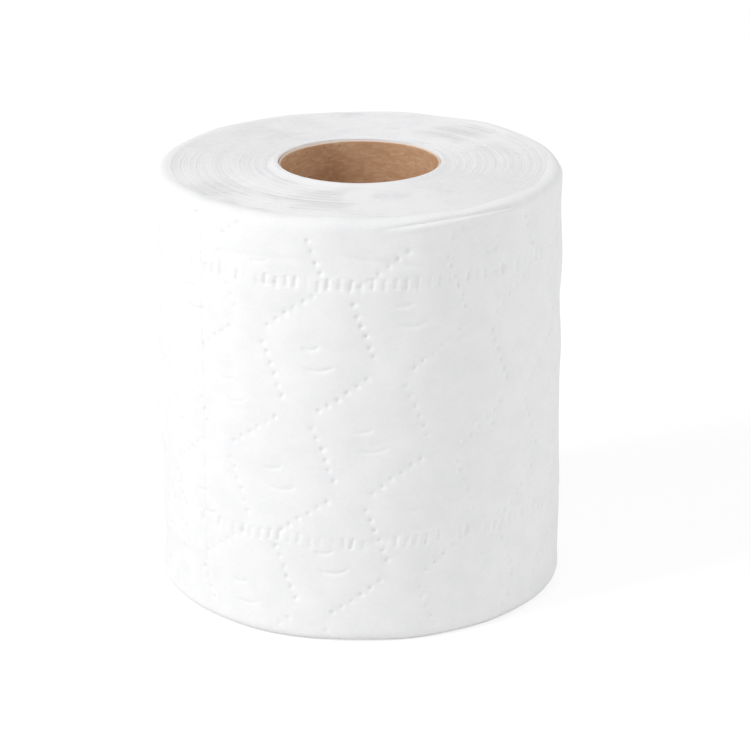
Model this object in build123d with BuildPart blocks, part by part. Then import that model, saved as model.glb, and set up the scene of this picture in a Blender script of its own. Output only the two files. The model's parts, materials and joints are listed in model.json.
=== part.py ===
"""A roll of toilet paper standing on one end: a cardboard core tube and the tissue wound round it.

The origin is the centre of the lower end face and +Z runs up the core. The front of the roll is
towards -Y, and the free edge of the paper, the tail, lies at the back. All sizes are millimetres.
"""

import os
from math import cos, hypot, pi, radians, sin

from build123d import *

# ---- driving dimensions ------------------------------------------------------------------------
roll_width = 112.0  # along the core, which is the width of the paper web
roll_diameter = 105.0  # across the tail, where the roll is thickest
bore_diameter = 41.0  # clear hole for a holder's spindle
core_wall = 0.6  # two plies of board, glued
web_thickness = 0.25  # one turn of the embossed two-ply web, as wound
shoulder = 2.5  # how far the soft outer edges are crushed round at both ends
shoulder_spread = 0.8  # how much flatter than a quarter circle that crushed edge is
tail_angle = 96.0  # degrees from +X to the tail's edge

# ---- sizes that follow from them ---------------------------------------------------------------
roll_radius = roll_diameter / 2
bore_radius = bore_diameter / 2
core_radius = bore_radius + core_wall
points_per_turn = 24  # of the curve that the outermost turn follows


def web_point(turned):
    """A point on the outermost turn, `turned` degrees round from the tail's edge."""
    radius = roll_radius - web_thickness * turned / 360
    angle = radians(tail_angle + turned)
    return (radius * cos(angle), radius * sin(angle))


# ---- core tube: plain board tube, cut square at both ends, flush with the paper ------------------
with BuildPart() as core_tube:
    with BuildSketch(Plane.XY):
        Circle(core_radius)
        Circle(bore_radius, mode=Mode.SUBTRACT)
    extrude(amount=roll_width)

# ---- tissue winding: all the turns as one solid --------------------------------------------------
# Its outer face is the last turn of a spiral, which ends in a step one web high at the tail.
with BuildPart() as tissue_winding:
    with BuildSketch(Plane.XY):
        with BuildLine():
            turned_angles = [360 * step / points_per_turn for step in range(points_per_turn + 1)]
            last_turn = Spline(*[web_point(turned) for turned in turned_angles])
            Line(last_turn @ 1, last_turn @ 0)
        make_face()
        Circle(core_radius, mode=Mode.SUBTRACT)
    extrude(amount=roll_width)

    # Both outer edges are crushed round. The arc runs from the end face, one shoulder in from the
    # side, to the side, one shoulder away from the end.
    arc_offset = shoulder + shoulder_spread
    arc_radius = hypot(arc_offset, shoulder_spread)
    with BuildSketch(Plane.XZ):
        with Locations((roll_radius - arc_offset, arc_offset)):
            Rectangle(arc_radius, arc_radius, align=(Align.MIN, Align.MAX))
            Circle(arc_radius, mode=Mode.SUBTRACT)
        mirror(about=Plane.XZ.offset(-roll_width / 2))
    revolve(axis=Axis.Z, mode=Mode.SUBTRACT)

# ---- report and write ----------------------------------------------------------------------------
core_tube.part.label = "core_tube"
tissue_winding.part.label = "tissue_winding"

web_length = pi * (roll_radius**2 - core_radius**2) / web_thickness
print(f"web length {web_length / 1000:.1f} m in {(roll_radius - core_radius) / web_thickness:.0f} turns")

os.makedirs("parts", exist_ok=True)
for piece in (core_tube, tissue_winding):
    print(f"{piece.part.label}: volume {piece.part.volume:.1f} mm3")
    export_step(piece.part, f"parts/{piece.part.label}.step")
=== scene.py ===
"""The looks of a roll of toilet paper, built round its frame.

The roll is one embossed web wound on a board core. Its last turn is modelled as the three
perforated sheets that it is made of, the turns under it as one body whose ends show their edges,
and the core as a board tube with a helical seam.

Lengths are millimetres until a mesh, a lamp or the camera takes them in metres. "Along" runs round
the roll from its front line towards the right. "Up" runs up the side and on over both shoulders.
Azimuths are radians from the front, towards the right.
"""

from __future__ import annotations

import json
import logging
from abc import ABC, abstractmethod
from collections.abc import Iterator
from dataclasses import dataclass, field
from enum import Enum
from math import cos, pi, radians, sin, tau

import bpy
import numpy as np
from mathutils import Matrix, Vector

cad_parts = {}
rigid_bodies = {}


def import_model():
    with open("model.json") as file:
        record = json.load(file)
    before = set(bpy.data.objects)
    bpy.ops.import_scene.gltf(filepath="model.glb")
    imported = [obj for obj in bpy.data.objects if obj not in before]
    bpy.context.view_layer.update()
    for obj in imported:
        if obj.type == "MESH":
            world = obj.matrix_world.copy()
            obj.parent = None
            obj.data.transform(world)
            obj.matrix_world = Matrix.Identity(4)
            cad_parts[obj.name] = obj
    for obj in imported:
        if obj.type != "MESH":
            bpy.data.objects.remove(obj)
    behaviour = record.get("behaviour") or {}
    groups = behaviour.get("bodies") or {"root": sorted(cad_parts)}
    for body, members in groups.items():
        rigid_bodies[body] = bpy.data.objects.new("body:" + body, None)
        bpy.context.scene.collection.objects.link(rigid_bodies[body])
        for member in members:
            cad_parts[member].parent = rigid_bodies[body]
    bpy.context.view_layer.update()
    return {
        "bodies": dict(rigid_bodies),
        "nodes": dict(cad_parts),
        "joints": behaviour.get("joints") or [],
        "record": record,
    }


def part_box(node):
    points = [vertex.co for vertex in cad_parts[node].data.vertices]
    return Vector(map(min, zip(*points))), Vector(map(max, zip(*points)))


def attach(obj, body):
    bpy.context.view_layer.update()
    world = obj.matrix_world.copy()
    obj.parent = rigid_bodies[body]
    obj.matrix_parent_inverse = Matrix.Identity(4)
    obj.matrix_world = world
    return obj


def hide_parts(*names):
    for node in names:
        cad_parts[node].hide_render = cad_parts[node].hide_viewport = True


MM = 0.001
LOG = logging.getLogger("toilet_paper_roll")
Array = np.ndarray
Colour = tuple[float, float, float] | bpy.types.NodeSocket


def fade(value: Array | float, low: float, high: float) -> Array:
    """A smooth rise from 0 at low to 1 at high.

    Args:
        value: What is compared with the two limits.
        low: Where the rise starts.
        high: Where it ends.

    Returns:
        The share of the rise, from 0 to 1.
    """
    share = np.clip((value - low) / (high - low), 0.0, 1.0)
    return share * share * (3.0 - 2.0 * share)


# ---- sizes of the roll -----------------------------------------------------------------------------


@dataclass(frozen=True)
class RollSizes:
    """The roll's own sizes, worked out from its frame.

    Attributes:
        tail_radius: Radius of the last turn at the tail, where the roll is thickest.
        core_radius: Outer radius of the board core, where the web starts.
        bore_radius: Radius of the clear hole.
        width: Width of the web, which is the height of the standing roll.
        turn: Thickness of one turn as wound.
        shoulder: Radius to which the soft outer edges are crushed.
        lip: How far the last turn reaches in over each end, past its shoulder.
        tail_azimuth: Where the web's free edge lies.
    """

    tail_radius: float
    core_radius: float
    bore_radius: float
    width: float
    turn: float = 0.25
    shoulder: float = 2.6
    lip: float = 1.6
    tail_azimuth: float = radians(-174.0)

    @classmethod
    def from_frame(cls, frame: dict) -> RollSizes:
        """Reads the sizes.

        Args:
            frame: The loaded frame, with its record.

        Returns:
            The sizes of the roll.
        """
        low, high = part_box("tissue_winding")
        core_low, core_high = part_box("core_tube")
        bore = next(mount for mount in frame["record"]["mounts"] if mount["name"] == "core_bore")
        return cls(
            tail_radius=(high.x - low.x) / 2 / MM + cls.turn / 2,
            core_radius=(core_high.x - core_low.x) / 2 / MM,
            bore_radius=bore["dims"]["r_mm"],
            width=high.z / MM,
        )

    @property
    def side_top(self) -> float:
        """Height at which the upright side ends and the upper shoulder starts."""
        return self.width - self.shoulder

    @property
    def reach(self) -> float:
        """How far "up" goes past each end of the side: round the shoulder and over the lip."""
        return self.shoulder * pi / 2 + self.lip

    def along(self, azimuth: float) -> float:
        """The length round the roll that an azimuth stands for."""
        return azimuth * self.tail_radius

    def wrap(self, along: Array, up: Array, height: Array) -> Array:
        """Winds flat places of the web onto the roll.

        Args:
            along: Length round the roll.
            up: Height on the side, which goes on over the shoulders.
            height: How far each place stands out of the surface.

        Returns:
            The places in space, one row each, in metres.
        """
        azimuth = along / self.tail_radius
        spiral = self.tail_radius - self.turn * (azimuth - self.tail_azimuth) / tau
        over = np.maximum(up - self.side_top, self.shoulder - up)
        bend = np.clip(over / self.shoulder, 0.0, pi / 2)
        flat = np.maximum(over - self.shoulder * pi / 2, 0.0)
        upper = np.where(up > self.width / 2, 1.0, -1.0)
        dip = -0.3 * fade(flat, self.lip - 0.7, self.lip)
        stand = height + dip
        radius = spiral - self.shoulder * (1 - np.cos(bend)) - flat + stand * np.cos(bend)
        rise = self.shoulder * np.sin(bend) + stand * np.sin(bend)
        side = np.clip(up, self.shoulder, self.side_top)
        z = np.clip(side + upper * rise, 0.0, None)
        return np.stack([radius * np.sin(azimuth), -radius * np.cos(azimuth), z], axis=1) * MM


# ---- relief of the web -----------------------------------------------------------------------------


class Relief(ABC):
    """Something that stands out of the web, or is pressed into it."""

    @abstractmethod
    def height(self, along: Array, up: Array) -> Array:
        """How far each place stands out of the web, below 0 where it is pressed in."""

    def near(self, along: Array, up: Array) -> Array:
        """Which places need a finer mesh for this relief."""
        return np.zeros(len(along), bool)


@dataclass(frozen=True)
class Stroke(Relief):
    """A groove or ridge along one shallow arc, which fades at both ends.

    Attributes:
        centre: Its middle, along and up.
        half: Half its length.
        depth: Height at its middle, below 0 for a groove.
        breadth: How far its height falls off to the sides.
        tilt: Turn from level.
        sag: How far the ends stand above the middle.
        fine: Whether it needs a finer mesh.
    """

    centre: tuple[float, float]
    half: float
    depth: float
    breadth: float = 0.45
    tilt: float = 0.0
    sag: float = 0.0
    fine: bool = True

    def _local(self, along: Array, up: Array) -> tuple[Array, Array]:
        """Distance along the arc as a share of its half length, and distance from the arc."""
        right = along - self.centre[0]
        above = up - self.centre[1]
        length = (right * cos(self.tilt) + above * sin(self.tilt)) / self.half
        across = above * cos(self.tilt) - right * sin(self.tilt) - self.sag * length**2
        return length, across

    def height(self, along: Array, up: Array) -> Array:
        """The groove's depth at each place."""
        result = np.zeros(len(along))
        reach = self.half + 3 * self.breadth + abs(self.sag)
        close = np.abs(along - self.centre[0]) < reach
        length, across = self._local(along[close], up[close])
        ends = fade(1.0 - np.abs(length), 0.0, 0.45)
        result[close] = self.depth * ends * np.exp(-((across / self.breadth) ** 2))
        return result

    def near(self, along: Array, up: Array) -> Array:
        """The places on the stroke, if it is a fine one."""
        length, across = self._local(along, up)
        return (np.abs(length) < 1.05) & (np.abs(across) < 2.2 * self.breadth) & self.fine


@dataclass(frozen=True)
class Swell(Relief):
    """A soft round rise or dent.

    Attributes:
        centre: Its middle, along and up.
        reach: How far it goes along and up.
        depth: Height at its middle, below 0 for a dent.
        fine: Whether it needs a finer mesh.
    """

    centre: tuple[float, float]
    reach: tuple[float, float]
    depth: float
    fine: bool = False

    def _distance(self, along: Array, up: Array) -> Array:
        """Squared distance from the middle, in reaches."""
        right = (along - self.centre[0]) / self.reach[0]
        above = (up - self.centre[1]) / self.reach[1]
        return right**2 + above**2

    def height(self, along: Array, up: Array) -> Array:
        """The rise at each place."""
        return self.depth * np.exp(-self._distance(along, up))

    def near(self, along: Array, up: Array) -> Array:
        """The places on it, if it is a fine one."""
        return (self._distance(along, up) < 4.0) & self.fine


@dataclass(frozen=True)
class Lattice:
    """The slanted repeat on which the embossing is laid out.

    Attributes:
        start: Along and up of one repeat.
        period: Step to the next repeat down the same chain.
        neighbour: Step to the chain beside it.
        count: Repeats counted each way from the start.
    """

    start: tuple[float, float] = (-1.8, 90.3)
    period: tuple[float, float] = (-10.4, -32.7)
    neighbour: tuple[float, float] = (13.4, -21.5)
    count: int = 14

    def repeats(self) -> Iterator[tuple[float, float]]:
        """Along and up of every repeat."""
        for down in range(-self.count, self.count + 1):
            for beside in range(-self.count, self.count + 1):
                along = self.start[0] + down * self.period[0] + beside * self.neighbour[0]
                up = self.start[1] + down * self.period[1] + beside * self.neighbour[1]
                yield along, up


@dataclass(frozen=True)
class Embossing(Relief):
    """Dotted zigzag chains with a nested pair of crescents in each field between them.

    Attributes:
        lattice: The repeat of the pattern.
        steep_step: From one dot to the next down the steep runs.
        shallow_start: From a repeat's first dot to the first of its shallow run.
        shallow_step: From one dot to the next down the shallow runs.
        dots_per_run: Dots in each run.
        dot_radius: How far a dot's dent falls off.
        dot_depth: Depth of a dot.
        valley_radius: How far the web is drawn in around a dot.
        valley_depth: How much it is drawn in.
        crescent_offset: From a repeat's first dot to the middle of its lower crescent.
        crescent_half: Half length of the lower crescent.
        crescent_depth: Depth of both crescents.
        low: Lowest place that is embossed.
        high: Highest place that is embossed.
    """

    lattice: Lattice = field(default_factory=Lattice)
    steep_step: tuple[float, float] = (1.06, -2.72)
    shallow_start: tuple[float, float] = (3.4, -19.4)
    shallow_step: tuple[float, float] = (-2.42, -1.72)
    dots_per_run: int = 6
    dot_radius: float = 0.6
    dot_depth: float = 0.42
    valley_radius: float = 2.4
    valley_depth: float = 0.11
    crescent_offset: tuple[float, float] = (-8.6, -17.3)
    crescent_half: float = 4.6
    crescent_depth: float = -0.32
    low: float = 3.0
    high: float = 109.0

    def dots(self) -> Array:
        """Along, up and strength of every dot, one row each."""
        rng = np.random.default_rng(11)
        found = []
        for along, up in self.lattice.repeats():
            for number in range(self.dots_per_run):
                steep = (along + number * self.steep_step[0], up + number * self.steep_step[1])
                shallow = (
                    along + self.shallow_start[0] + number * self.shallow_step[0],
                    up + self.shallow_start[1] + number * self.shallow_step[1],
                )
                for place in (steep, shallow):
                    shift = rng.normal(0.0, 0.12, 2)
                    strength = rng.uniform(0.55, 1.3)
                    if self.low < place[1] < self.high:
                        found.append((place[0] + shift[0], place[1] + shift[1], strength))
        return np.array(found)

    def crescents(self) -> list[Stroke]:
        """The crescents: a lower one and a shorter one nested above it."""
        rng = np.random.default_rng(12)
        found = []
        for along, up in self.lattice.repeats():
            middle = (along + self.crescent_offset[0], up + self.crescent_offset[1])
            strength = rng.uniform(0.4, 1.1)
            if not self.low + 3 < middle[1] < self.high - 6:
                continue
            lower = Stroke(middle, self.crescent_half, self.crescent_depth * strength, 0.5, 0.05, 1.3)
            above = (middle[0] - 2.2, middle[1] + 5.4)
            upper = Stroke(above, self.crescent_half * 0.6, self.crescent_depth * strength, 0.5, 0.1, 0.7)
            found += [lower, upper]
        return found

    def height(self, along: Array, up: Array) -> Array:
        """Dents, the valleys that join them, and crescents."""
        result = np.zeros(len(along))
        for dot_along, dot_up, strength in self.dots():
            close = np.abs(along - dot_along) < 2.5 * self.valley_radius
            distance = (along[close] - dot_along) ** 2 + (up[close] - dot_up) ** 2
            dent = self.dot_depth * strength * np.exp(-distance / self.dot_radius**2)
            valley = self.valley_depth * np.exp(-distance / self.valley_radius**2)
            result[close] -= dent + valley
        for crescent in self.crescents():
            result += crescent.height(along, up)
        return result

    def near(self, along: Array, up: Array) -> Array:
        """The places on a dot or a crescent."""
        result = np.zeros(len(along), bool)
        for dot_along, dot_up, _ in self.dots():
            result |= (np.abs(along - dot_along) < 1.25) & (np.abs(up - dot_up) < 1.25)
        for crescent in self.crescents():
            result |= crescent.near(along, up)
        return result


@dataclass(frozen=True)
class CrimpBand(Relief):
    """A row of short upright dents that presses the plies together.

    Attributes:
        up: Height of the row's middle.
        seed: Which uneven row this is.
        pitch: From one dent to the next.
        half: Half length of a dent.
        depth: Depth of a strong dent.
    """

    up: float
    seed: int
    pitch: float = 2.75
    half: float = 1.9
    depth: float = -0.5

    def strokes(self) -> list[Stroke]:
        """The dents all round the roll."""
        rng = np.random.default_rng(self.seed)
        found = []
        for along in np.arange(-170.0, 180.0, self.pitch):
            strength = rng.uniform(0.15, 1.0)
            middle = (along + rng.normal(0.0, 0.25), self.up + rng.normal(0.0, 0.35))
            tilt = pi / 2 - 0.12 + rng.normal(0.0, 0.08)
            found.append(Stroke(middle, self.half, self.depth * strength, 0.55, tilt))
        return found

    def height(self, along: Array, up: Array) -> Array:
        """The dents' depth at each place."""
        return sum(stroke.height(along, up) for stroke in self.strokes())

    def near(self, along: Array, up: Array) -> Array:
        """The places in the row."""
        return np.abs(up - self.up) < self.half + 0.7


@dataclass(frozen=True)
class Slackness(Relief):
    """The uneven lie of a soft web: broad waves and many faint level wrinkles.

    Attributes:
        wave_height: Height of one broad wave.
        wave_count: How many broad waves are added up.
        wrinkle_count: How many wrinkles lie round the roll.
        wrinkle_height: Height of a strong wrinkle.
    """

    wave_height: float = 0.05
    wave_count: int = 14
    wrinkle_count: int = 420
    wrinkle_height: float = 0.11

    def height(self, along: Array, up: Array) -> Array:
        """Waves and wrinkles at each place."""
        rng = np.random.default_rng(21)
        result = np.zeros(len(along))
        for _ in range(self.wave_count):
            direction = rng.uniform(0.0, pi)
            length = rng.uniform(16.0, 48.0)
            phase = rng.uniform(0.0, tau)
            way = along * cos(direction) + up * sin(direction)
            result += self.wave_height * np.sin(way * tau / length + phase)
        for _ in range(self.wrinkle_count):
            wrinkle = Stroke(
                centre=(rng.uniform(-162.0, 172.0), rng.uniform(6.0, 107.0)),
                half=rng.uniform(3.0, 9.0),
                depth=rng.uniform(-1.0, 1.0) * self.wrinkle_height,
                breadth=rng.uniform(0.9, 1.4),
                tilt=rng.normal(0.0, 0.13),
                sag=rng.normal(0.0, 0.4),
                fine=False,
            )
            result += wrinkle.height(along, up)
        return result


def web_reliefs(sizes: RollSizes) -> list[Relief]:
    """All that the web shows.

    Args:
        sizes: The roll's sizes.

    Returns:
        The reliefs, whose heights add up.
    """
    crease_up = sizes.width - 0.9
    left = sizes.along(radians(-88.0))
    return [
        Embossing(),
        CrimpBand(up=95.4, seed=31),
        CrimpBand(up=27.5, seed=32),
        Slackness(),
        Stroke((27.5, crease_up), 25.0, -0.5, 0.4, 0.01, -1.6),
        Stroke((27.5, crease_up - 1.1), 24.0, 0.2, 0.7, 0.01, -1.6),
        Stroke((-26.0, 101.2), 13.0, -0.13, 0.8, 0.03),
        Stroke((4.6, 101.4), 14.0, -0.17, 0.8, -0.16),
        Swell((36.0, 55.4), (1.4, 1.1), -0.4, fine=True),
        Swell((left, 46.8), (15.0, 7.5), 0.9),
        Swell((left, 70.5), (13.0, 3.5), 0.7),
    ]


# ---- the work bench --------------------------------------------------------------------------------


class Pick(Enum):
    """What edit mode selects."""

    VERTICES = (True, False, False)
    EDGES = (False, True, False)
    FACES = (False, False, True)


class Bench:
    """Blender's own tools, used on one piece at a time."""

    @staticmethod
    def clear() -> None:
        """Deselects everything, in object mode."""
        if bpy.context.object and bpy.context.object.mode != "OBJECT":
            bpy.ops.object.mode_set(mode="OBJECT")
        bpy.ops.object.select_all(action="DESELECT")

    @staticmethod
    def grid(
        name: str,
        columns: int,
        rows: int,
        low: tuple[float, float],
        high: tuple[float, float],
    ) -> bpy.types.Object:
        """Adds a flat grid in the XY plane.

        Args:
            name: The piece's name.
            columns: Cells along X.
            rows: Cells along Y.
            low: Lowest X and Y.
            high: Highest X and Y.

        Returns:
            The new piece, whose object stands at the origin.
        """
        Bench.clear()
        bpy.ops.mesh.primitive_grid_add(x_subdivisions=columns, y_subdivisions=rows, size=1.0)
        piece = bpy.context.object
        piece.name = name
        piece.data.name = name
        bpy.ops.object.mode_set(mode="EDIT")
        bpy.ops.mesh.select_all(action="SELECT")
        bpy.ops.transform.resize(value=(high[0] - low[0], high[1] - low[1], 1.0))
        bpy.ops.transform.translate(value=((high[0] + low[0]) / 2, (high[1] + low[1]) / 2, 0.0))
        bpy.ops.object.mode_set(mode="OBJECT")
        return piece

    @staticmethod
    def places(piece: bpy.types.Object) -> Array:
        """The piece's vertices, one row each."""
        flat = np.empty(len(piece.data.vertices) * 3, np.float32)
        piece.data.vertices.foreach_get("co", flat)
        return flat.reshape(-1, 3).astype(float)

    @staticmethod
    def move(piece: bpy.types.Object, places: Array) -> None:
        """Puts the piece's vertices where the rows of places say."""
        piece.data.vertices.foreach_set("co", places.astype(np.float32).ravel())
        piece.data.update()

    @staticmethod
    def faces(piece: bpy.types.Object) -> tuple[Array, Array]:
        """Middle and normal of each face, one row each."""
        count = len(piece.data.polygons)
        centres = np.empty(count * 3, np.float32)
        normals = np.empty(count * 3, np.float32)
        piece.data.polygons.foreach_get("center", centres)
        piece.data.polygons.foreach_get("normal", normals)
        return centres.reshape(-1, 3).astype(float), normals.reshape(-1, 3).astype(float)

    @staticmethod
    def edit(piece: bpy.types.Object, pick: Pick, wanted: Array | None = None) -> None:
        """Enters edit mode with some of the piece selected.

        Args:
            piece: The piece.
            pick: Whether wanted counts vertices, edges or faces.
            wanted: Which of them are selected, or None for all.
        """
        Bench.clear()
        piece.select_set(True)
        bpy.context.view_layer.objects.active = piece
        bpy.context.tool_settings.mesh_select_mode = pick.value
        bpy.ops.object.mode_set(mode="EDIT")
        bpy.ops.mesh.select_all(action="SELECT" if wanted is None else "DESELECT")
        if wanted is None:
            return
        bpy.ops.object.mode_set(mode="OBJECT")
        parts = {
            Pick.VERTICES: piece.data.vertices,
            Pick.EDGES: piece.data.edges,
            Pick.FACES: piece.data.polygons,
        }
        parts[pick].foreach_set("select", wanted)
        bpy.ops.object.mode_set(mode="EDIT")

    @staticmethod
    def done(piece: bpy.types.Object, smooth_angle: float) -> None:
        """Turns all faces outwards and smooths the piece where it bends less than an angle."""
        Bench.edit(piece, Pick.FACES)
        bpy.ops.mesh.normals_make_consistent(inside=False)
        bpy.ops.object.mode_set(mode="OBJECT")
        bpy.ops.object.shade_smooth_by_angle(angle=smooth_angle)
        bpy.ops.object.select_all(action="DESELECT")


# ---- shader maths ----------------------------------------------------------------------------------


class Value:
    """A number socket that takes part in ordinary arithmetic."""

    def __init__(self, graph: Graph, socket: bpy.types.NodeSocket) -> None:
        """Wraps a number socket of a graph."""
        self.graph = graph
        self.socket = socket

    def _with(self, operation: str, *others: Value | float) -> Value:
        """A Math node on this value and others."""
        inputs = dict(enumerate((self, *others)))
        node = self.graph.node("ShaderNodeMath", {"operation": operation}, inputs)
        return Value(self.graph, node.outputs[0])

    def _after(self, operation: str, other: float) -> Value:
        """A Math node with a plain number before this value."""
        node = self.graph.node("ShaderNodeMath", {"operation": operation}, {0: other, 1: self})
        return Value(self.graph, node.outputs[0])

    def __add__(self, other: Value | float) -> Value:
        """Sum."""
        return self._with("ADD", other)

    def __radd__(self, other: float) -> Value:
        """Sum with a plain number first."""
        return self._with("ADD", other)

    def __sub__(self, other: Value | float) -> Value:
        """Difference."""
        return self._with("SUBTRACT", other)

    def __rsub__(self, other: float) -> Value:
        """Difference from a plain number."""
        return self._after("SUBTRACT", other)

    def __mul__(self, other: Value | float) -> Value:
        """Product."""
        return self._with("MULTIPLY", other)

    def __rmul__(self, other: float) -> Value:
        """Product with a plain number first."""
        return self._with("MULTIPLY", other)

    def __truediv__(self, other: Value | float) -> Value:
        """Quotient."""
        return self._with("DIVIDE", other)

    def sine(self) -> Value:
        """Sine of this value, in radians."""
        return self._with("SINE")

    def root(self) -> Value:
        """Square root."""
        return self._with("SQRT")

    def larger(self, other: Value | float) -> Value:
        """The larger of two values."""
        return self._with("MAXIMUM", other)

    def direction(self, other: Value) -> Value:
        """The angle whose tangent is this value over another."""
        return self._with("ARCTAN2", other)

    def ramp(self, low: float, high: float) -> Value:
        """A smooth rise from 0 at low to 1 at high."""
        inputs = {"Value": self, "From Min": low, "From Max": high}
        node = self.graph.node("ShaderNodeMapRange", {"interpolation_type": "SMOOTHSTEP"}, inputs)
        return Value(self.graph, node.outputs[0])


class Graph:
    """The node tree of one material or of the world."""

    def __init__(self, tree: bpy.types.NodeTree) -> None:
        """Empties a tree and takes it over."""
        self.tree = tree
        tree.nodes.clear()

    @classmethod
    def of_material(cls, name: str) -> tuple[Graph, bpy.types.Material]:
        """A new material of that name, with its graph."""
        material = bpy.data.materials.new(name)
        material.use_nodes = True
        return cls(material.node_tree), material

    def node(self, kind: str, settings: dict | None = None, inputs: dict | None = None) -> bpy.types.Node:
        """Adds a node.

        Args:
            kind: The node's type.
            settings: Properties to set first.
            inputs: Values, numbers or sockets for its inputs, by name or number.

        Returns:
            The node.
        """
        made = self.tree.nodes.new(kind)
        for key, value in (settings or {}).items():
            setattr(made, key, value)
        for key, value in (inputs or {}).items():
            if isinstance(value, Value):
                value = value.socket
            if isinstance(value, bpy.types.NodeSocket):
                self.tree.links.new(value, made.inputs[key])
            else:
                made.inputs[key].default_value = value
        return made

    def noise(
        self,
        vector: bpy.types.NodeSocket,
        stretch: tuple[float, float, float],
        detail: float,
    ) -> Value:
        """Noise in cycles per metre.

        Args:
            vector: The coordinates, in metres.
            stretch: Cycles per metre on each axis.
            detail: How many finer octaves are added.

        Returns:
            The noise, from 0 to 1.
        """
        scaled = self.node("ShaderNodeVectorMath", {"operation": "MULTIPLY"}, {0: vector, 1: stretch})
        inputs = {"Vector": scaled.outputs[0], "Scale": 1.0, "Detail": detail}
        made = self.node("ShaderNodeTexNoise", None, inputs)
        return Value(self, made.outputs["Fac"])

    def mix(self, share: Value, first: Colour, second: Colour) -> bpy.types.NodeSocket:
        """Mixes two colours.

        Args:
            share: How much of the second colour is taken, from 0 to 1.
            first: Plain numbers, or the socket of a colour.
            second: The same.

        Returns:
            The mixed colour.
        """
        made = self.node("ShaderNodeMix", {"data_type": "RGBA"}, {"Factor": share})
        for key, colour in ((6, first), (7, second)):
            if isinstance(colour, bpy.types.NodeSocket):
                self.tree.links.new(colour, made.inputs[key])
            else:
                made.inputs[key].default_value = (*colour, 1.0)
        return made.outputs[2]

    def split(self, vector: bpy.types.NodeSocket) -> tuple[Value, Value, Value]:
        """The three parts of a vector."""
        made = self.node("ShaderNodeSeparateXYZ", None, {0: vector})
        return tuple(Value(self, socket) for socket in made.outputs)

    def bump(self, height: Value, distance: float) -> bpy.types.NodeSocket:
        """A normal from a height from 0 to 1 that stands for a distance in metres."""
        made = self.node("ShaderNodeBump", None, {"Height": height, "Distance": distance, "Strength": 1.0})
        return made.outputs["Normal"]

    def surface(self, shader: bpy.types.Node, output: str = "ShaderNodeOutputMaterial") -> None:
        """Makes a shader the tree's surface."""
        self.node(output, None, {"Surface": shader.outputs[0]})


# ---- finishes --------------------------------------------------------------------------------------


@dataclass(frozen=True)
class TissueFace:
    """Soft creped tissue, seen on the face of the web.

    Attributes:
        paper: Colour of the paper.
        shade: Colour where the fibres lie thin.
        roughness: Its matt surface.
        grain: Height of crepe and fibres together, in metres.
    """

    paper: tuple[float, float, float] = (0.90, 0.90, 0.905)
    shade: tuple[float, float, float] = (0.865, 0.868, 0.877)
    roughness: float = 0.95
    grain: float = 0.00007

    def make(self) -> bpy.types.Material:
        """The material. It reads the web's own flat map, in metres."""
        graph, material = Graph.of_material("tissue_face")
        web = graph.node("ShaderNodeUVMap", {"uv_map": "web"}).outputs["UV"]
        crepe = graph.noise(web, (2400.0, 380.0, 1.0), 3.0)
        wrinkle = graph.noise(web, (90.0, 760.0, 1.0), 3.0)
        fibre = graph.noise(web, (1100.0, 1100.0, 1.0), 6.0)
        cloud = graph.noise(web, (160.0, 160.0, 1.0), 4.0)
        height = crepe * 0.3 + wrinkle * 0.45 + fibre * 0.25
        share = (cloud * 0.6 + fibre * 0.4).ramp(0.62, 0.35)
        inputs = {
            "Base Color": graph.mix(share, self.paper, self.shade),
            "Roughness": self.roughness,
            "Specular IOR Level": 0.2,
            "Normal": graph.bump(height, self.grain),
        }
        graph.surface(graph.node("ShaderNodeBsdfPrincipled", None, inputs))
        return material


@dataclass(frozen=True)
class TissueEdges:
    """The cut edges of the wound turns, seen on the ends of the roll.

    Attributes:
        turn: Thickness of one turn, in metres.
        paper: Colour of the edges.
        shade: Colour between them: painted shade laid in the lines between the turns' edges, mixed with
            random fibre tone.
        roughness: Their matt surface.
        grain: Height of the cut fibres, in metres.
    """

    turn: float
    paper: tuple[float, float, float] = (0.90, 0.90, 0.91)
    shade: tuple[float, float, float] = (0.80, 0.80, 0.815)
    roughness: float = 1.0
    grain: float = 0.00012

    def make(self) -> bpy.types.Material:
        """The material. Its lines of painted shade between the turns follow the spiral of the web."""
        graph, material = Graph.of_material("tissue_edges")
        place = graph.node("ShaderNodeTexCoord").outputs["Object"]
        x, y, _ = graph.split(place)
        radius = (x * x + y * y).root()
        waver = graph.noise(place, (60.0, 60.0, 60.0), 3.0)
        turns = radius / self.turn + y.direction(x) / tau + waver * 2.0
        line = (turns * tau).sine() * 0.5 + 0.5
        fibre = graph.noise(place, (900.0, 900.0, 900.0), 5.0)
        patch = graph.noise(place, (140.0, 140.0, 40.0), 3.0)
        # Painted shade: the shade colour darkens the lines between the turns' edges, where the grooves
        # would be shaded, mixed with random fibre tone in patches.
        share = (line * 0.35 + fibre * 0.65).ramp(0.55, 0.2) * patch.ramp(0.3, 0.7)
        inputs = {
            "Base Color": graph.mix(share, self.paper, self.shade),
            "Roughness": self.roughness,
            "Specular IOR Level": 0.15,
            "Normal": graph.bump(line * 0.3 + fibre * 0.7, self.grain),
        }
        graph.surface(graph.node("ShaderNodeBsdfPrincipled", None, inputs))
        return material


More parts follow.
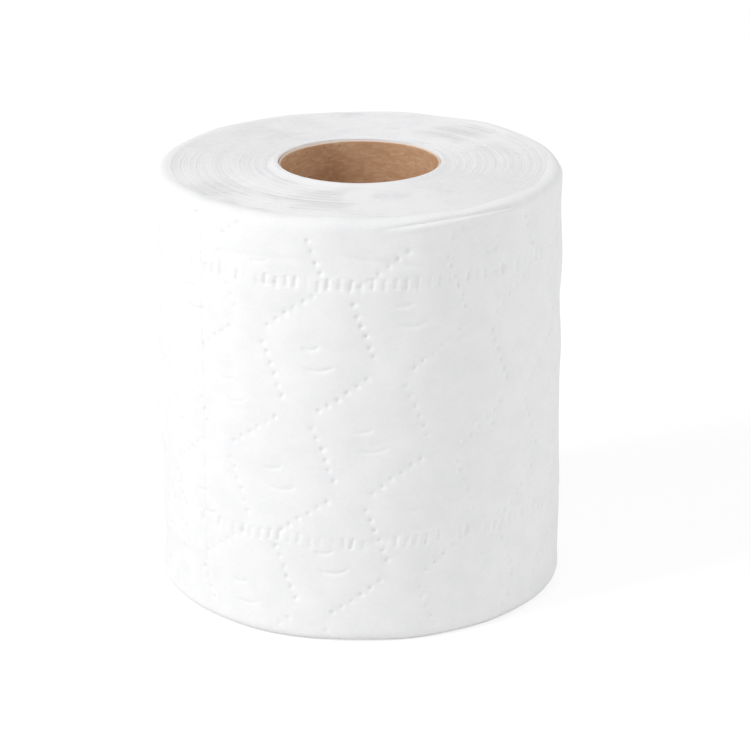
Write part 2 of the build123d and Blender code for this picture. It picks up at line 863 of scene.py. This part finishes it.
@dataclass(frozen=True)
class CoreBoard:
    """Plain brown board of recycled fibre, paler where it is cut.

    Attributes:
        top: Height of the upper cut edge, in metres.
        board: Main colour of the board.
        pale: Its paler fibres.
        dark: Its dark flecks.
        cut: Colour of the cut edges.
        roughness: Its matt surface.
        grain: Height of the fibres, in metres.
    """

    top: float
    board: tuple[float, float, float] = (0.56, 0.33, 0.19)
    pale: tuple[float, float, float] = (0.70, 0.47, 0.30)
    dark: tuple[float, float, float] = (0.20, 0.10, 0.055)
    cut: tuple[float, float, float] = (0.72, 0.58, 0.46)
    roughness: float = 0.85
    grain: float = 0.00008

    def make(self) -> bpy.types.Material:
        """The material. Its fibres run round the tube."""
        graph, material = Graph.of_material("core_board")
        place = graph.node("ShaderNodeTexCoord").outputs["Object"]
        _, _, z = graph.split(place)
        fibre = graph.noise(place, (420.0, 420.0, 1300.0), 5.0)
        cloud = graph.noise(place, (110.0, 110.0, 160.0), 4.0)
        fleck = graph.noise(place, (700.0, 700.0, 1500.0), 2.0)
        light = fibre.ramp(0.42, 0.68) * 0.6 + cloud.ramp(0.4, 0.7) * 0.4
        shown = graph.mix(light, self.board, self.pale)
        flecked = graph.mix(fleck.ramp(0.66, 0.76) * 0.7, shown, self.dark)
        upper_edge = z.ramp(self.top - 0.0004, self.top - 0.00015)
        lower_edge = 1 - z.ramp(0.00015, 0.0004)
        inputs = {
            "Base Color": graph.mix(upper_edge.larger(lower_edge), flecked, self.cut),
            "Roughness": self.roughness,
            "Specular IOR Level": 0.25,
            "Normal": graph.bump(fibre, self.grain),
        }
        graph.surface(graph.node("ShaderNodeBsdfPrincipled", None, inputs))
        return material


# ---- pieces ----------------------------------------------------------------------------------------


@dataclass
class LastTurn:
    """The last turn of the web, as the sheets between its perforations.

    Attributes:
        sizes: The roll's sizes.
        sheet_length: From one perforation to the next.
        cell: Cell of the first, coarse grid.
        thickness: How far the hidden inner face lies under the outer one.
        slit: Half width of a perforation's slit.
        slit_period: From one slit to the next.
        bond: Length of paper left between two slits.
        tuck: How far the innermost sheet goes on under the tail.
    """

    sizes: RollSizes
    sheet_length: float = 114.0
    cell: float = 1.8
    thickness: float = 0.9
    slit: float = 0.03
    slit_period: float = 3.6
    bond: float = 0.9
    tuck: float = 2.5

    def edges(self) -> list[float]:
        """Where the sheets start and end, along the web from the tail."""
        start = self.sizes.along(self.sizes.tail_azimuth)
        end = start + self.sizes.tail_radius * tau
        return [start, start + self.sheet_length, start + 2 * self.sheet_length, end + self.tuck]

    def build(self) -> list[bpy.types.Object]:
        """Models every sheet.

        Returns:
            The sheets, from the tail inwards.
        """
        reliefs = web_reliefs(self.sizes)
        edges = self.edges()
        names = ("tail_sheet", "front_sheet", "inner_sheet")
        return [
            self._sheet(name, start, end, reliefs)
            for name, start, end in zip(names, edges[:-1], edges[1:], strict=True)
        ]

    def _sheet(self, name: str, start: float, end: float, reliefs: list[Relief]) -> bpy.types.Object:
        """Models one sheet as a closed slab, fine where it is embossed.

        Args:
            name: The piece's name.
            start: Where it starts along the web.
            end: Where it ends.
            reliefs: What it shows.

        Returns:
            The sheet.
        """
        low = self.sizes.shoulder - self.sizes.reach
        high = self.sizes.side_top + self.sizes.reach
        columns = round((end - start) / self.cell)
        rows = round((high - low) / self.cell)
        sheet = Bench.grid(name, columns, rows, (start, low), (end, high))
        Bench.edit(sheet, Pick.FACES)
        bpy.ops.mesh.extrude_region_move(TRANSFORM_OT_translate={"value": (0.0, 0.0, -self.thickness)})
        bpy.ops.object.mode_set(mode="OBJECT")
        self._refine(sheet, start, end, reliefs)
        self._keep_flat_map(sheet)
        self._wind(sheet, start, end, reliefs)
        Bench.done(sheet, radians(60.0))
        return sheet

    def _refine(self, sheet: bpy.types.Object, start: float, end: float, reliefs: list[Relief]) -> None:
        """Halves the outer face's cells, then divides by three those on fine relief or a perforation."""
        for cuts in (1, 2):
            centres, normals = Bench.faces(sheet)
            wanted = (centres[:, 2] > -self.thickness / 2) & (np.abs(normals[:, 2]) > 0.5)
            if cuts == 2:
                along, up = centres[:, 0], centres[:, 1]
                fine = (along - start < self.cell / 2) | (end - along < self.cell / 2)
                for relief in reliefs:
                    fine |= relief.near(along, up)
                wanted &= fine
            Bench.edit(sheet, Pick.FACES, wanted)
            bpy.ops.mesh.subdivide(number_cuts=cuts, ngon=True)
            bpy.ops.object.mode_set(mode="OBJECT")

    @staticmethod
    def _keep_flat_map(sheet: bpy.types.Object) -> None:
        """Keeps each place's along and up, in metres, as the map that the paper's grain follows."""
        layer = sheet.data.uv_layers[0]
        layer.name = "web"
        corners = np.empty(len(sheet.data.loops), np.int32)
        sheet.data.loops.foreach_get("vertex_index", corners)
        flat = Bench.places(sheet)[corners, :2] * MM
        layer.data.foreach_set("uv", flat.astype(np.float32).ravel())

    def _wind(self, sheet: bpy.types.Object, start: float, end: float, reliefs: list[Relief]) -> None:
        """Gives the flat sheet its relief and edges, and winds it onto the roll."""
        places = Bench.places(sheet)
        along, up = places[:, 0].copy(), places[:, 1].copy()
        outer = places[:, 2] > -self.thickness / 2
        height = np.full(len(along), -self.thickness)
        height[outer] = sum(relief.height(along[outer], up[outer]) for relief in reliefs)
        tail = self.sizes.along(self.sizes.tail_azimuth)
        from_tail = along - tail
        flutter = 0.25 + 0.2 * np.sin(up * 0.21) + 0.12 * np.sin(up * 0.67 + 1.0)
        height += np.where(outer, flutter * np.exp(-from_tail / 3.5), 0.0)
        for edge, inward in ((start, 1.0), (end, -1.0)):
            at_edge = np.abs(places[:, 0] - edge) < 0.01
            if edge == tail:
                along += np.where(at_edge, 0.35 * np.sin(up * 0.13) + 0.12 * np.sin(up * 0.9), 0.0)
                continue
            cut = np.where(np.mod(up, self.slit_period) > self.bond, 1.0, -0.2)
            along += np.where(at_edge, inward * self.slit * cut, 0.0)
            torn = 0.03 * np.exp(-((places[:, 0] - edge) ** 2) / 0.35)
            height -= np.where(outer, torn, 0.0)
        Bench.move(sheet, self.sizes.wrap(along, up, height))


@dataclass
class WoundTurns:
    """All the turns under the last one, as one body with the web's spiral on both ends.

    Attributes:
        sizes: The roll's sizes.
        segments: Cells round the roll.
        wall_rows: Cells up each wall.
        groove: How deep the line between two turns is.
        uneven: How far single turns stand out or in.
        collar: How far the innermost turns stand out.
        collar_breadth: How far from the core the collar reaches.
    """

    sizes: RollSizes
    segments: int = 200
    wall_rows: int = 4
    groove: float = 0.045
    uneven: float = 0.03
    collar: float = 0.75
    collar_breadth: float = 3.4

    def build(self) -> bpy.types.Object:
        """Models the body.

        Returns:
            The closed body.
        """
        outside = self.sizes.tail_radius - self.sizes.shoulder - self.sizes.lip + 0.9
        turns = int((outside - self.sizes.core_radius) / self.sizes.turn)
        rings = 2 * turns
        rows = 2 * rings + 2 * self.wall_rows
        body = Bench.grid("wound_turns", self.segments, rows, (0.0, 0.0), (tau, float(rows)))
        places = Bench.places(body)
        angle = places[:, 0]
        row = np.rint(places[:, 1]).astype(int) % rows
        Bench.move(body, self._section(angle, row, rings))
        Bench.edit(body, Pick.VERTICES)
        bpy.ops.mesh.remove_doubles(threshold=0.000002)
        bpy.ops.mesh.select_all(action="SELECT")
        bpy.ops.mesh.fill_holes(sides=0)
        bpy.ops.object.mode_set(mode="OBJECT")
        Bench.done(body, radians(80.0))
        return body

    def _section(self, angle: Array, row: Array, rings: int) -> Array:
        """Places the rows of the grid round the section, and winds them.

        Args:
            angle: Turn from the tail, from 0 to a full turn.
            row: Row round the section: upper end inwards, down the core, lower end outwards, up.
            rings: Rings on each end.

        Returns:
            The places in metres.
        """
        lower_first = rings + self.wall_rows
        upper = row <= rings
        down = (row > rings) & (row < lower_first)
        lower = (row >= lower_first) & (row <= lower_first + rings)
        ring = np.select([upper, down, lower], [row, rings, rings - (row - lower_first)], 0)
        climbing = row - lower_first - rings
        falling = 1 - (row - rings) / self.wall_rows
        share = np.select([upper, down, lower], [1.0, falling, 0.0], climbing / self.wall_rows)
        step = self.sizes.turn / 2
        radius = self.sizes.core_radius + step + step * (rings - ring) - self.sizes.turn * angle / tau
        azimuth = self.sizes.tail_azimuth + angle
        stand = self._stand(radius, ring / 2 + angle / tau, ring, azimuth)
        low = -np.minimum(stand, 0.0) * 0.8
        z = np.where(share > 0.5, self.sizes.width + stand, low)
        middle = (share > 0.0) & (share < 1.0)
        z = np.where(middle, share * self.sizes.width, z)
        return np.stack([radius * np.sin(azimuth), -radius * np.cos(azimuth), z], axis=1) * MM

    def _stand(self, radius: Array, turn: Array, ring: Array, azimuth: Array) -> Array:
        """How far each place of an end stands out of it.

        Args:
            radius: Distance from the axis.
            turn: Turns from the outside.
            ring: Number of the ring, odd in the grooves.
            azimuth: Where it lies round the roll.

        Returns:
            The height over the end's plane.
        """
        rng = np.random.default_rng(41)
        count = int(turn.max()) + 3
        single = rng.normal(0.0, self.uneven, count)
        groups = np.convolve(rng.normal(0.0, 0.2, count + 12), np.ones(7) / 7, "same")[:count]
        numbers = np.arange(count)
        stand = np.interp(turn, numbers, single) + np.interp(turn, numbers, groups) - 0.12
        stand += 0.05 * np.sin(3 * azimuth + turn * 0.21) * np.sin(turn * 0.5 + 1.0)
        stand -= np.where(ring % 2 == 1, self.groove, 0.0)
        from_core = radius - self.sizes.core_radius
        lean = 0.8 + 0.2 * np.cos(azimuth + radians(50.0))
        rise = self.collar * lean * (1 - fade(from_core, 0.6, self.collar_breadth))
        return np.clip(stand, -0.4, 0.12) + rise


@dataclass
class BoardCore:
    """The core: a tube of two board plies wound on a helix and cut square.

    Attributes:
        sizes: The roll's sizes.
        segments: Cells round the tube.
        rows: Cells up its inner wall.
        chamfer: How far the cut edges are worn.
        seam_rise: Step at the helical seam of the inner ply.
        seam_lead: Height of one turn of the seam.
        oval: How far the tube is out of round.
    """

    sizes: RollSizes
    segments: int = 224
    rows: int = 100
    chamfer: float = 0.1
    seam_rise: float = 0.14
    seam_lead: float = 96.0
    oval: float = 0.12

    def build(self) -> bpy.types.Object:
        """Models the tube.

        Returns:
            The closed tube.
        """
        Bench.clear()
        bpy.ops.mesh.primitive_circle_add(vertices=self.segments, radius=self.sizes.core_radius)
        tube = bpy.context.object
        tube.name = "board_core"
        tube.data.name = "board_core"
        width = self.sizes.width
        inwards = self.sizes.bore_radius / self.sizes.core_radius
        Bench.edit(tube, Pick.EDGES)
        bpy.ops.mesh.extrude_region_move(TRANSFORM_OT_translate={"value": (0.0, 0.0, width)})
        bpy.ops.mesh.extrude_region_move()
        bpy.ops.transform.resize(value=(inwards, inwards, 1.0))
        bpy.ops.mesh.extrude_region_move(TRANSFORM_OT_translate={"value": (0.0, 0.0, -width)})
        bpy.ops.mesh.select_all(action="DESELECT")
        bpy.ops.mesh.select_non_manifold()
        bpy.ops.mesh.bridge_edge_loops()
        bpy.ops.object.mode_set(mode="OBJECT")
        Bench.edit(tube, Pick.EDGES, self._rim_edges(tube))
        bpy.ops.mesh.bevel(offset=self.chamfer, segments=2, affect="EDGES")
        bpy.ops.object.mode_set(mode="OBJECT")
        Bench.edit(tube, Pick.EDGES, self._inner_uprights(tube))
        bpy.ops.mesh.subdivide(number_cuts=self.rows - 1)
        bpy.ops.object.mode_set(mode="OBJECT")
        Bench.move(tube, self._shape(Bench.places(tube)))
        Bench.done(tube, radians(50.0))
        return tube

    @staticmethod
    def _ends(tube: bpy.types.Object) -> tuple[Array, Array]:
        """The two ends of every edge."""
        pairs = np.empty(len(tube.data.edges) * 2, np.int32)
        tube.data.edges.foreach_get("vertices", pairs)
        places = Bench.places(tube)
        return places[pairs[0::2]], places[pairs[1::2]]

    def _rim_edges(self, tube: bpy.types.Object) -> Array:
        """Which edges run round a rim."""
        first, second = self._ends(tube)
        level = np.abs(first[:, 2] - second[:, 2]) < 0.01
        same = np.abs(np.hypot(*first[:, :2].T) - np.hypot(*second[:, :2].T)) < 0.01
        return level & same

    def _inner_uprights(self, tube: bpy.types.Object) -> Array:
        """Which edges run up the inner wall."""
        first, second = self._ends(tube)
        upright = np.abs(first[:, 2] - second[:, 2]) > self.sizes.width / 2
        return upright & (np.hypot(*first[:, :2].T) < self.sizes.bore_radius + 0.05)

    def _shape(self, places: Array) -> Array:
        """Gives the tube its seam, its slight oval and its uneven upper edge.

        Args:
            places: The places of the true tube, in millimetres.

        Returns:
            The shaped places, in metres.
        """
        azimuth = np.arctan2(places[:, 0], -places[:, 1])
        radius = np.hypot(places[:, 0], places[:, 1])
        z = places[:, 2]
        round_seam = np.mod(azimuth / tau - z / self.seam_lead + 0.62, 1.0) * tau * radius
        step = fade(round_seam, 0.0, 0.7) * (1 - fade(round_seam, 0.7, 26.0))
        inner = radius < self.sizes.bore_radius + 0.2
        radius = radius - np.where(inner, self.seam_rise * step, 0.0)
        radius = radius + self.oval * np.cos(2 * azimuth + 0.6)
        top = fade(z, self.sizes.width - 2.0, self.sizes.width)
        z = z - top * (0.12 + 0.1 * np.sin(2 * azimuth + 2.0) + 0.05 * np.sin(7 * azimuth))
        return np.stack([radius * np.sin(azimuth), -radius * np.cos(azimuth), z], axis=1) * MM


# ---- studio ----------------------------------------------------------------------------------------


@dataclass(frozen=True)
class Lamp:
    """A soft square lamp that looks at the roll.

    Attributes:
        name: What it is called.
        azimuth: Where it stands round the roll, in degrees from the front to the right.
        elevation: How high it stands, in degrees.
        distance: How far away it stands, in metres.
        size: Its side, in metres.
        power: Its power, in watts.
    """

    name: str
    azimuth: float
    elevation: float
    distance: float
    size: float
    power: float

    def place(self, target: Vector) -> None:
        """Hangs the lamp so that it faces the target."""
        data = bpy.data.lights.new(self.name, "AREA")
        data.shape = "SQUARE"
        data.size = self.size
        data.energy = self.power
        lamp = bpy.data.objects.new(self.name, data)
        bpy.context.scene.collection.objects.link(lamp)
        across, rise = radians(self.azimuth), radians(self.elevation)
        away = Vector((sin(across) * cos(rise), -cos(across) * cos(rise), sin(rise)))
        lamp.location = target + away * self.distance
        lamp.rotation_euler = (-away).to_track_quat("-Z", "Y").to_euler()


@dataclass(frozen=True)
class Studio:
    """A pale floor, soft lamps and the camera.

    Attributes:
        sizes: The roll's sizes.
        ambient: Strength of the even light from all round.
        shadow_share: How much of the floor that is seen shows its light and shadow.
        floor_glow: Strength of the rest of the seen floor.
        camera_distance: In outer radii of the roll.
        camera_elevation: How steeply it looks down, in degrees.
        camera_turn: Turn about its own line of sight, in degrees.
        lens: Focal length, in millimetres.
        shift: The picture's shift across and up, as shares of its width.
    """

    sizes: RollSizes
    ambient: float = 0.64
    shadow_share: float = 0.4
    floor_glow: float = 1.2
    camera_distance: float = 17.312
    camera_elevation: float = 19.364
    camera_turn: float = -0.332
    lens: float = 165.8
    shift: tuple[float, float] = (0.01895, -0.01067)
    lamps: tuple[Lamp, ...] = (
        Lamp("key", -62.0, 38.0, 1.3, 0.4, 7.5),
        Lamp("right_fill", 85.0, 18.0, 1.3, 0.7, 2.6),
    )

    def build(self) -> None:
        """Sets the stage, the lamps and the camera."""
        target = Vector((0.0, 0.0, self.sizes.width / 2 * MM))
        self._floor()
        self._world()
        for lamp in self.lamps:
            lamp.place(target)
        self._camera(target)
        bpy.context.scene.view_settings.view_transform = "Standard"

    def _floor(self) -> None:
        """A wide floor, white to the camera where nothing shades it."""
        Bench.clear()
        bpy.ops.mesh.primitive_grid_add(x_subdivisions=4, y_subdivisions=4, size=8.0)
        floor = bpy.context.object
        floor.name = "floor"
        graph, material = Graph.of_material("floor")
        paths = graph.node("ShaderNodeLightPath").outputs
        seen = Value(graph, paths["Is Camera Ray"])
        lit = graph.node("ShaderNodeBsdfDiffuse", None, {"Color": (0.9, 0.9, 0.9, 1.0)})
        glow = graph.node("ShaderNodeEmission", None, {"Strength": self.floor_glow})
        both = {0: seen * (1 - self.shadow_share), 1: lit.outputs[0], 2: glow.outputs[0]}
        graph.surface(graph.node("ShaderNodeMixShader", None, both))
        floor.data.materials.append(material)

    def _world(self) -> None:
        """An even light, white where it is seen."""
        world = bpy.data.worlds.new("studio")
        world.use_nodes = True
        bpy.context.scene.world = world
        graph = Graph(world.node_tree)
        paths = graph.node("ShaderNodeLightPath").outputs
        seen = Value(graph, paths["Is Camera Ray"]).larger(Value(graph, paths["Is Glossy Ray"]))
        seen = seen.larger(Value(graph, paths["Is Transmission Ray"]))
        strength = seen * (1 - self.ambient) + self.ambient
        white = {"Color": (1.0, 1.0, 1.0, 1.0), "Strength": strength}
        graph.surface(graph.node("ShaderNodeBackground", None, white), "ShaderNodeOutputWorld")

    def _camera(self, target: Vector) -> None:
        """Places the camera in front of the roll, looking down at its middle."""
        data = bpy.data.cameras.new("camera")
        data.lens = self.lens
        data.shift_x, data.shift_y = self.shift
        data.clip_end = 20.0
        camera = bpy.data.objects.new("camera", data)
        bpy.context.scene.collection.objects.link(camera)
        rise = radians(self.camera_elevation)
        away = Vector((0.0, -cos(rise), sin(rise)))
        facing = (-away).to_track_quat("-Z", "Y").to_matrix().to_4x4()
        place = target + away * self.camera_distance * self.sizes.tail_radius * MM
        turn = Matrix.Rotation(radians(self.camera_turn), 4, "Z")
        camera.matrix_world = Matrix.Translation(place) @ facing @ turn
        bpy.context.scene.camera = camera


# ---- putting it together ---------------------------------------------------------------------------


def dress(piece: bpy.types.Object, finish: bpy.types.Material) -> None:
    """Gives a piece its finish, and lets it ride on the roll.

    Args:
        piece: The finished piece.
        finish: Its material.
    """
    piece.data.materials.clear()
    piece.data.materials.append(finish)
    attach(piece, "root")
    triangles = sum(len(face.vertices) - 2 for face in piece.data.polygons)
    LOG.info("%s: %d triangles", piece.name, triangles)


def main() -> None:
    """Builds the roll and its studio round the frame."""
    logging.basicConfig(level=logging.INFO, format="%(name)s: %(message)s")
    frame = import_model()
    sizes = RollSizes.from_frame(frame)

    face = TissueFace().make()
    sheets = LastTurn(sizes).build()
    for sheet in sheets:
        dress(sheet, face)
    turns = WoundTurns(sizes).build()
    dress(turns, TissueEdges(sizes.turn * MM).make())
    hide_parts("tissue_winding")

    core = BoardCore(sizes).build()
    dress(core, CoreBoard(sizes.width * MM).make())
    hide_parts("core_tube")

    Studio(sizes).build()


if __name__ == "__main__":
    main()
